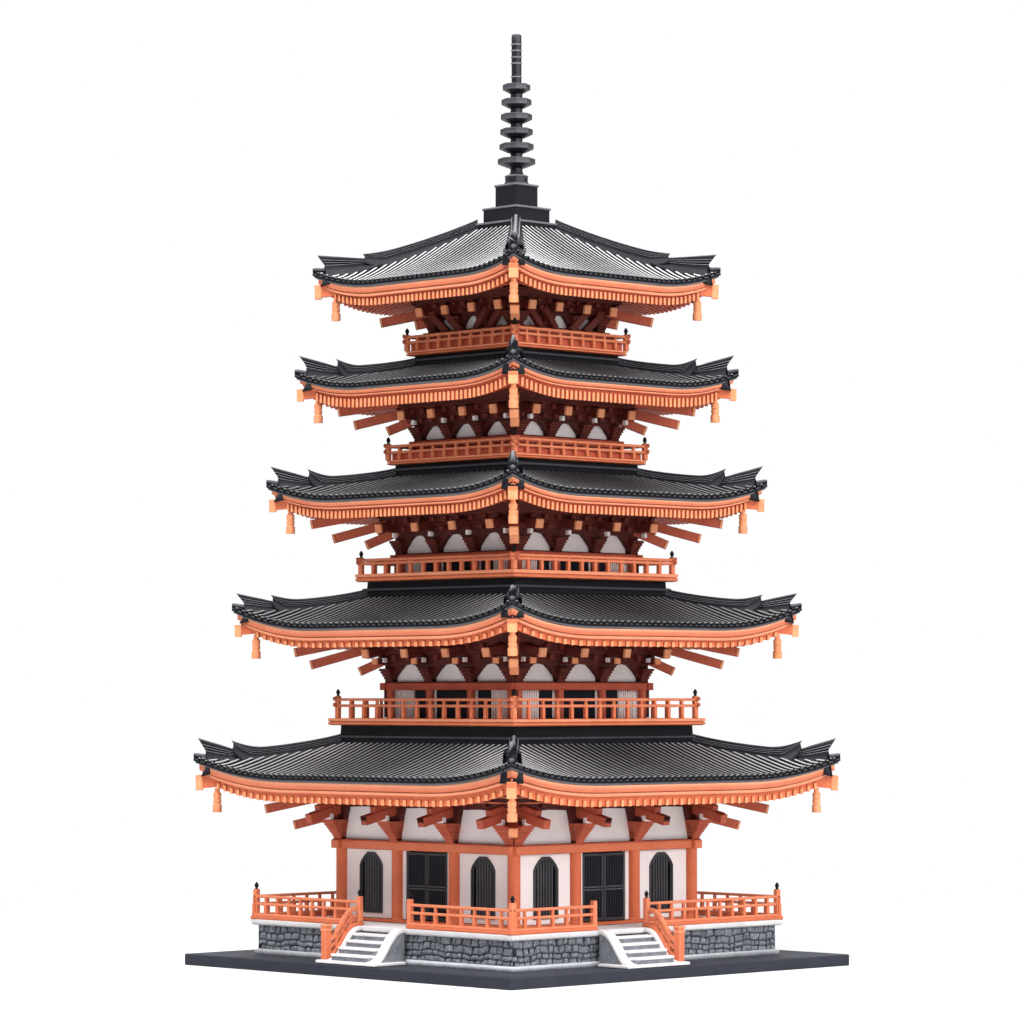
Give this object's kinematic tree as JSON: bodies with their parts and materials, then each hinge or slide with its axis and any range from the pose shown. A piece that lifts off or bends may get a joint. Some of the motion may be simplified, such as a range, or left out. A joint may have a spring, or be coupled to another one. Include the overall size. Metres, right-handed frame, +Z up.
{
  "type": "pagoda scale model",
  "caption": "Multi-storey square pagoda as a table-top scale model: tiled roofs, balconies, stairs, hinged doors and a finial, on a base plate.",
  "frame": {"origin": "centre of the underside of the base plate, on the tower's axis", "axes": "+Z up along the tower's axis; -Y is the south side and +X the east side, each with a stair and doors"},
  "size_m": [0.226, 0.226, 0.45],
  "materials": {
    "slate_plate": "smooth dark slate",
    "podium_stone": "rough grey masonry",
    "white_stone": "matt pale slab",
    "orange_wood": "painted wood, satin",
    "red_wood": "dark red painted wood",
    "white_plaster": "white plaster, matt",
    "black_lacquer": "black, satin",
    "black_tile": "dark tiles, satin",
    "dark_metal": "dark metal"
  },
  "bodies": {
    "pagoda": {"base_plate": "slate_plate", "podium": "podium_stone", "podium_cap": "white_stone", "ground_floor": "orange_wood", "stair_south": "white_stone", "stair_east": "white_stone", "stair_north": "white_stone", "stair_west": "white_stone", "veranda_rail_south_east": "orange_wood", "veranda_rail_north_east": "orange_wood", "veranda_rail_north_west": "orange_wood", "veranda_rail_south_west": "orange_wood", "ground_frame": "orange_wood", "corner_wall_south_east": "white_plaster", "corner_wall_north_east": "white_plaster", "corner_wall_north_west": "white_plaster", "corner_wall_south_west": "white_plaster", "window_sheet": "black_lacquer", "plaster_band": "white_plaster", "brackets_1": "red_wood", "brackets_2": "red_wood", "brackets_3": "red_wood", "brackets_4": "red_wood", "brackets_5": "red_wood", "eaves_1": "orange_wood", "eaves_2": "orange_wood", "eaves_3": "orange_wood", "eaves_4": "orange_wood", "eaves_5": "orange_wood", "roof_1": "black_tile", "roof_2": "black_tile", "roof_3": "black_tile", "roof_4": "black_tile", "roof_5": "black_tile", "collar_2": "black_lacquer", "collar_3": "black_lacquer", "collar_4": "black_lacquer", "collar_5": "black_lacquer", "balcony_2": "orange_wood", "balcony_3": "orange_wood", "balcony_4": "orange_wood", "balcony_5": "orange_wood", "walls_2": "white_plaster", "walls_3": "white_plaster", "walls_4": "white_plaster", "walls_5": "white_plaster", "finial_base": "dark_metal", "spire": "dark_metal"},
    "door_south_left": {"door_south_left": "black_lacquer"},
    "door_south_right": {"door_south_right": "black_lacquer"},
    "door_east_left": {"door_east_left": "black_lacquer"},
    "door_east_right": {"door_east_right": "black_lacquer"},
    "door_north_left": {"door_north_left": "black_lacquer"},
    "door_north_right": {"door_north_right": "black_lacquer"},
    "door_west_left": {"door_west_left": "black_lacquer"},
    "door_west_right": {"door_west_right": "black_lacquer"}
  },
  "joints": [
    {"name": "door_south_left_hinge", "type": "hinge", "parent": "pagoda", "child": "door_south_left", "pos_m": [-0.014, -0.0589, 0.0238], "axis": [0, 0, -1], "range_deg": [0, 90]},
    {"name": "door_south_right_hinge", "type": "hinge", "parent": "pagoda", "child": "door_south_right", "pos_m": [0.014, -0.0589, 0.0238], "axis": [0, 0, 1], "range_deg": [0, 90]},
    {"name": "door_east_left_hinge", "type": "hinge", "parent": "pagoda", "child": "door_east_left", "pos_m": [0.0589, -0.014, 0.0238], "axis": [0, 0, -1], "range_deg": [0, 90]},
    {"name": "door_east_right_hinge", "type": "hinge", "parent": "pagoda", "child": "door_east_right", "pos_m": [0.0589, 0.014, 0.0238], "axis": [0, 0, 1], "range_deg": [0, 90]},
    {"name": "door_north_left_hinge", "type": "hinge", "parent": "pagoda", "child": "door_north_left", "pos_m": [0.014, 0.0589, 0.0238], "axis": [0, 0, -1], "range_deg": [0, 90]},
    {"name": "door_north_right_hinge", "type": "hinge", "parent": "pagoda", "child": "door_north_right", "pos_m": [-0.014, 0.0589, 0.0238], "axis": [0, 0, 1], "range_deg": [0, 90]},
    {"name": "door_west_left_hinge", "type": "hinge", "parent": "pagoda", "child": "door_west_left", "pos_m": [-0.0589, 0.014, 0.0238], "axis": [0, 0, -1], "range_deg": [0, 90]},
    {"name": "door_west_right_hinge", "type": "hinge", "parent": "pagoda", "child": "door_west_right", "pos_m": [-0.0589, -0.014, 0.0238], "axis": [0, 0, 1], "range_deg": [0, 90]}
  ]
}
